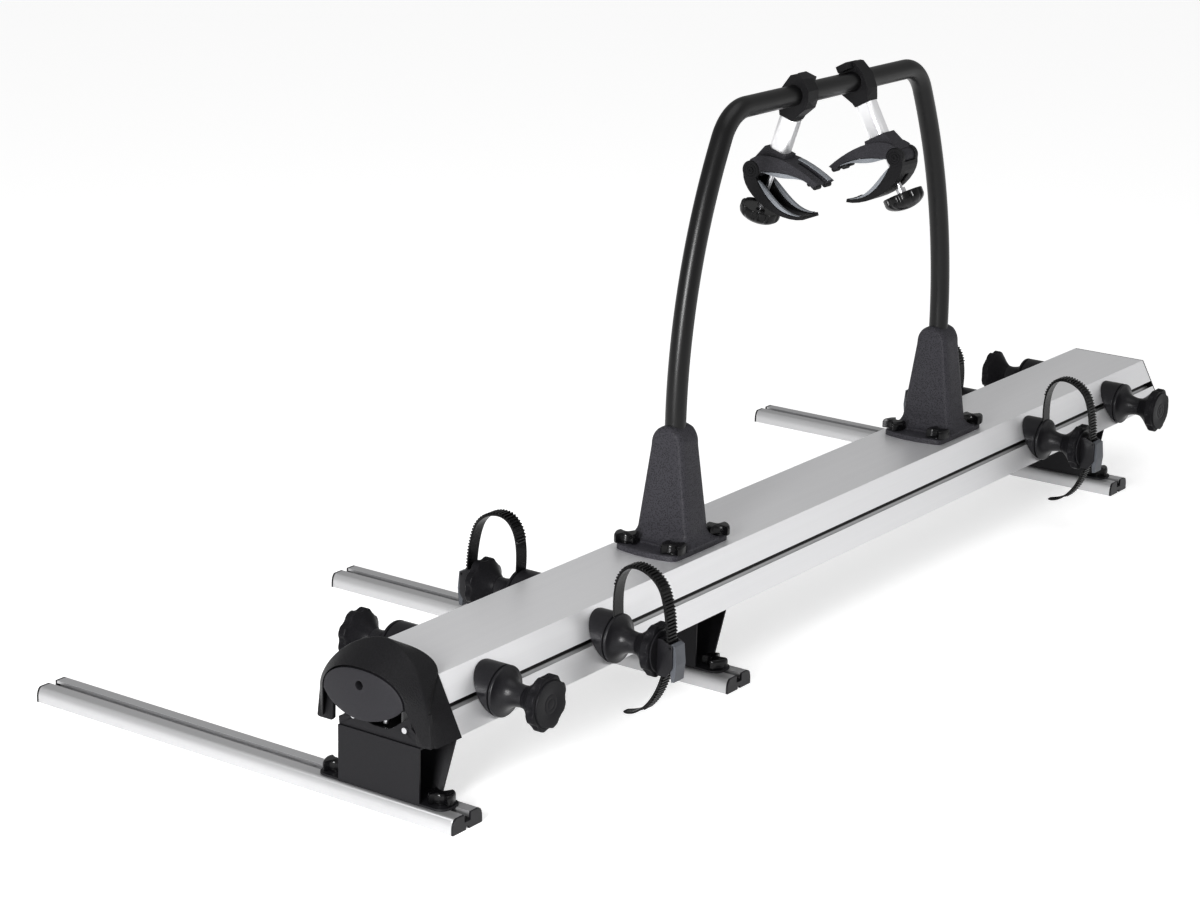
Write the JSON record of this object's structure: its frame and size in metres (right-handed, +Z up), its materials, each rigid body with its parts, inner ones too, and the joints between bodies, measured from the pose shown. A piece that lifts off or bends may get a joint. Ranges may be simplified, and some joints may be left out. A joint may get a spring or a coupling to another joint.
{
  "type": "slide-out bike carrier",
  "caption": "Slide-out bike carrier: floor rails, brackets, a beam that rolls out, wheel cradles with ladder straps, and a hoop with swivelling frame grips.",
  "frame": {"origin": "centre line of the beam over the near floor rail's centre line, at the floor", "axes": "+X across the carrier towards the rails' short end, +Y along the beam away from the near cap, +Z up"},
  "size_m": [0.8055, 2.071, 0.8193],
  "materials": {
    "aluminium": "satin anodised extrusion",
    "arm_tube": "bright anodised",
    "powder_black": "fine textured powder coat",
    "hoop_black": "semi-matt powder coat",
    "moulded_black": "fine grained moulding",
    "cap_black": "grained moulding",
    "knob_black": "satin moulding",
    "strap_black": "ladder strap",
    "lever_grey": "satin moulding",
    "steel": "zinc plated"
  },
  "bodies": {
    "floor_rails": {"rail_near": "aluminium", "rail_middle": "aluminium", "rail_far": "aluminium", "rail_end_caps": "moulded_black"},
    "support": {"bracket_near": "powder_black", "bracket_middle": "powder_black", "bracket_far": "powder_black", "bracket_bolts": "steel", "bracket_knobs": "knob_black", "inner_rail": "steel", "guide_end_plate": "powder_black", "guide_screws": "steel", "roller_axles": "steel"},
    "roller_near": {"roller_pair_near": "moulded_black"},
    "roller_middle": {"roller_pair_middle": "moulded_black"},
    "carriage": {"beam": "aluminium", "near_cap": "cap_black", "far_cover": "moulded_black", "tower_near": "moulded_black", "tower_far": "moulded_black", "tower_wing_bolts": "knob_black", "hoop": "hoop_black"},
    "handle": {"release_handle": "cap_black"},
    "latch": {"latch_bolt": "steel"},
    "collar_left": {"collar_left": "moulded_black"},
    "grip_left": {"arm_tube_left": "arm_tube", "upper_jaw_left": "moulded_black"},
    "lower_jaw_left": {"lower_jaw_left": "moulded_black"},
    "clamp_rod_left": {"clamp_rod_left": "steel"},
    "clamp_knob_left": {"clamp_knob_left": "knob_black"},
    "collar_right": {"collar_right": "moulded_black"},
    "grip_right": {"arm_tube_right": "arm_tube", "upper_jaw_right": "moulded_black"},
    "lower_jaw_right": {"lower_jaw_right": "moulded_black"},
    "clamp_rod_right": {"clamp_rod_right": "steel"},
    "clamp_knob_right": {"clamp_knob_right": "knob_black"},
    "cradle_right_1": {"cradle_right_1": "moulded_black"},
    "knob_right_1": {"knob_right_1": "moulded_black"},
    "cradle_right_2": {"cradle_right_2": "moulded_black", "strap_right_2": "strap_black"},
    "knob_right_2": {"knob_right_2": "moulded_black"},
    "lever_right_2": {"lever_right_2": "lever_grey"},
    "cradle_right_3": {"cradle_right_3": "moulded_black", "strap_right_3": "strap_black"},
    "knob_right_3": {"knob_right_3": "moulded_black"},
    "lever_right_3": {"lever_right_3": "lever_grey"},
    "cradle_right_4": {"cradle_right_4": "moulded_black"},
    "knob_right_4": {"knob_right_4": "moulded_black"},
    "cradle_left_1": {"cradle_left_1": "moulded_black"},
    "knob_left_1": {"knob_left_1": "moulded_black"},
    "cradle_left_2": {"cradle_left_2": "moulded_black", "strap_left_2": "strap_black"},
    "knob_left_2": {"knob_left_2": "moulded_black"},
    "lever_left_2": {"lever_left_2": "lever_grey"},
    "cradle_left_3": {"cradle_left_3": "moulded_black", "strap_left_3": "strap_black"},
    "knob_left_3": {"knob_left_3": "moulded_black"},
    "lever_left_3": {"lever_left_3": "lever_grey"},
    "cradle_left_4": {"cradle_left_4": "moulded_black"},
    "knob_left_4": {"knob_left_4": "moulded_black"}
  },
  "joints": [
    {"name": "support_slide", "type": "slide", "parent": "floor_rails", "child": "support", "axis": [1, 0, 0], "range_m": [-0.48, 0.02]},
    {"name": "carriage_slide", "type": "slide", "parent": "support", "child": "carriage", "axis": [0, -1, 0], "range_m": [0, 1.3]},
    {"name": "roller_near_spin", "type": "hinge", "parent": "support", "child": "roller_near", "pos_m": [0, 0.025, 0.1567], "axis": [1, 0, 0], "continuous": true},
    {"name": "roller_middle_spin", "type": "hinge", "parent": "support", "child": "roller_middle", "pos_m": [0, 0.6425, 0.1567], "axis": [1, 0, 0], "continuous": true},
    {"name": "handle_swing", "type": "hinge", "parent": "carriage", "child": "handle", "pos_m": [0, -0.033, 0.15], "axis": [1, 0, 0], "range_deg": [-11.3, 0]},
    {"name": "latch_slide", "type": "slide", "parent": "carriage", "child": "latch", "axis": [0, 0, 1], "range_m": [-0.00575, 0]},
    {"name": "collar_left_swing", "type": "hinge", "parent": "carriage", "child": "collar_left", "pos_m": [0, 0.92, 0.789], "axis": [0, 1, 0], "range_deg": [-60, 60]},
    {"name": "grip_left_swivel", "type": "hinge", "parent": "collar_left", "child": "grip_left", "pos_m": [0, 0.92, 0.789], "axis": [-0.309, 0, -0.9511], "range_deg": [-90, 90]},
    {"name": "jaw_left_close", "type": "hinge", "parent": "grip_left", "child": "lower_jaw_left", "pos_m": [-0.06269, 0.92, 0.67373], "axis": [0, -1, 0], "range_deg": [0, 24]},
    {"name": "rod_left_slide", "type": "slide", "parent": "grip_left", "child": "clamp_rod_left", "axis": [0.309, 0, 0.9511], "range_m": [0, 0.0101]},
    {"name": "knob_left_turn", "type": "hinge", "parent": "clamp_rod_left", "child": "clamp_knob_left", "pos_m": [-0.05871, 0.92, 0.6083], "axis": [-0.309, 0, -0.9511], "continuous": true},
    {"name": "collar_right_swing", "type": "hinge", "parent": "carriage", "child": "collar_right", "pos_m": [0, 1.083, 0.789], "axis": [0, 1, 0], "range_deg": [-60, 60]},
    {"name": "grip_right_swivel", "type": "hinge", "parent": "collar_right", "child": "grip_right", "pos_m": [0, 1.083, 0.789], "axis": [-0.4772, 0, 0.8788], "range_deg": [-90, 90]},
    {"name": "jaw_right_close", "type": "hinge", "parent": "grip_right", "child": "lower_jaw_right", "pos_m": [0.08265, 1.083, 0.68708], "axis": [0, 1, 0], "range_deg": [0, 24]},
    {"name": "rod_right_slide", "type": "slide", "parent": "grip_right", "child": "clamp_rod_right", "axis": [-0.4772, 0, 0.8788], "range_m": [0, 0.0101]},
    {"name": "knob_right_turn", "type": "hinge", "parent": "clamp_rod_right", "child": "clamp_knob_right", "pos_m": [0.09066, 1.083, 0.62202], "axis": [0.4772, 0, -0.8788], "continuous": true},
    {"name": "cradle_right_1_slide", "type": "slide", "parent": "carriage", "child": "cradle_right_1", "axis": [0, 1, 0], "range_m": [-0.04, 0.1]},
    {"name": "knob_right_1_turn", "type": "hinge", "parent": "cradle_right_1", "child": "knob_right_1", "pos_m": [0.16, 0.101, 0.14727], "axis": [1, 0, 0], "continuous": true},
    {"name": "cradle_right_2_slide", "type": "slide", "parent": "carriage", "child": "cradle_right_2", "axis": [0, 1, 0], "range_m": [-0.1, 0.3]},
    {"name": "knob_right_2_turn", "type": "hinge", "parent": "cradle_right_2", "child": "knob_right_2", "pos_m": [0.16, 0.348, 0.14727], "axis": [1, 0, 0], "continuous": true},
    {"name": "lever_right_2_lift", "type": "hinge", "parent": "cradle_right_2", "child": "lever_right_2", "pos_m": [0.198, 0.348, 0.15827], "axis": [0, -1, 0], "range_deg": [0, 85]},
    {"name": "cradle_right_3_slide", "type": "slide", "parent": "carriage", "child": "cradle_right_3", "axis": [0, 1, 0], "range_m": [-0.3, 0.1]},
    {"name": "knob_right_3_turn", "type": "hinge", "parent": "cradle_right_3", "child": "knob_right_3", "pos_m": [0.16, 1.567, 0.14727], "axis": [1, 0, 0], "continuous": true},
    {"name": "lever_right_3_lift", "type": "hinge", "parent": "cradle_right_3", "child": "lever_right_3", "pos_m": [0.198, 1.567, 0.15827], "axis": [0, -1, 0], "range_deg": [0, 85]},
    {"name": "cradle_right_4_slide", "type": "slide", "parent": "carriage", "child": "cradle_right_4", "axis": [0, 1, 0], "range_m": [-0.1, 0.1]},
    {"name": "knob_right_4_turn", "type": "hinge", "parent": "cradle_right_4", "child": "knob_right_4", "pos_m": [0.16, 1.854, 0.14727], "axis": [1, 0, 0], "continuous": true},
    {"name": "cradle_left_1_slide", "type": "slide", "parent": "carriage", "child": "cradle_left_1", "axis": [0, 1, 0], "range_m": [-0.08, 0.06]},
    {"name": "knob_left_1_turn", "type": "hinge", "parent": "cradle_left_1", "child": "knob_left_1", "pos_m": [-0.16, 0.143, 0.14727], "axis": [-1, 0, 0], "continuous": true},
    {"name": "cradle_left_2_slide", "type": "slide", "parent": "carriage", "child": "cradle_left_2", "axis": [0, 1, 0], "range_m": [-0.1, 0.25]},
    {"name": "knob_left_2_turn", "type": "hinge", "parent": "cradle_left_2", "child": "knob_left_2", "pos_m": [-0.16, 0.412, 0.14727], "axis": [-1, 0, 0], "continuous": true},
    {"name": "lever_left_2_lift", "type": "hinge", "parent": "cradle_left_2", "child": "lever_left_2", "pos_m": [-0.198, 0.412, 0.15827], "axis": [0, 1, 0], "range_deg": [0, 85]},
    {"name": "cradle_left_3_slide", "type": "slide", "parent": "carriage", "child": "cradle_left_3", "axis": [0, 1, 0], "range_m": [-0.3, 0.08]},
    {"name": "knob_left_3_turn", "type": "hinge", "parent": "cradle_left_3", "child": "knob_left_3", "pos_m": [-0.16, 1.655, 0.14727], "axis": [-1, 0, 0], "continuous": true},
    {"name": "lever_left_3_lift", "type": "hinge", "parent": "cradle_left_3", "child": "lever_left_3", "pos_m": [-0.198, 1.655, 0.15827], "axis": [0, 1, 0], "range_deg": [0, 85]},
    {"name": "cradle_left_4_slide", "type": "slide", "parent": "carriage", "child": "cradle_left_4", "axis": [0, 1, 0], "range_m": [-0.1, 0.06]},
    {"name": "knob_left_4_turn", "type": "hinge", "parent": "cradle_left_4", "child": "knob_left_4", "pos_m": [-0.16, 1.902, 0.14727], "axis": [-1, 0, 0], "continuous": true}
  ],
  "couplings": [
    {"joint": "roller_near_spin", "follows": "carriage_slide", "rad_per_m": 76.923},
    {"joint": "roller_middle_spin", "follows": "carriage_slide", "rad_per_m": 76.923},
    {"joint": "latch_slide", "follows": "handle_swing", "m_per_rad": 0.029},
    {"joint": "rod_left_slide", "follows": "jaw_left_close", "m_per_rad": 0.024},
    {"joint": "rod_right_slide", "follows": "jaw_right_close", "m_per_rad": 0.024}
  ]
}
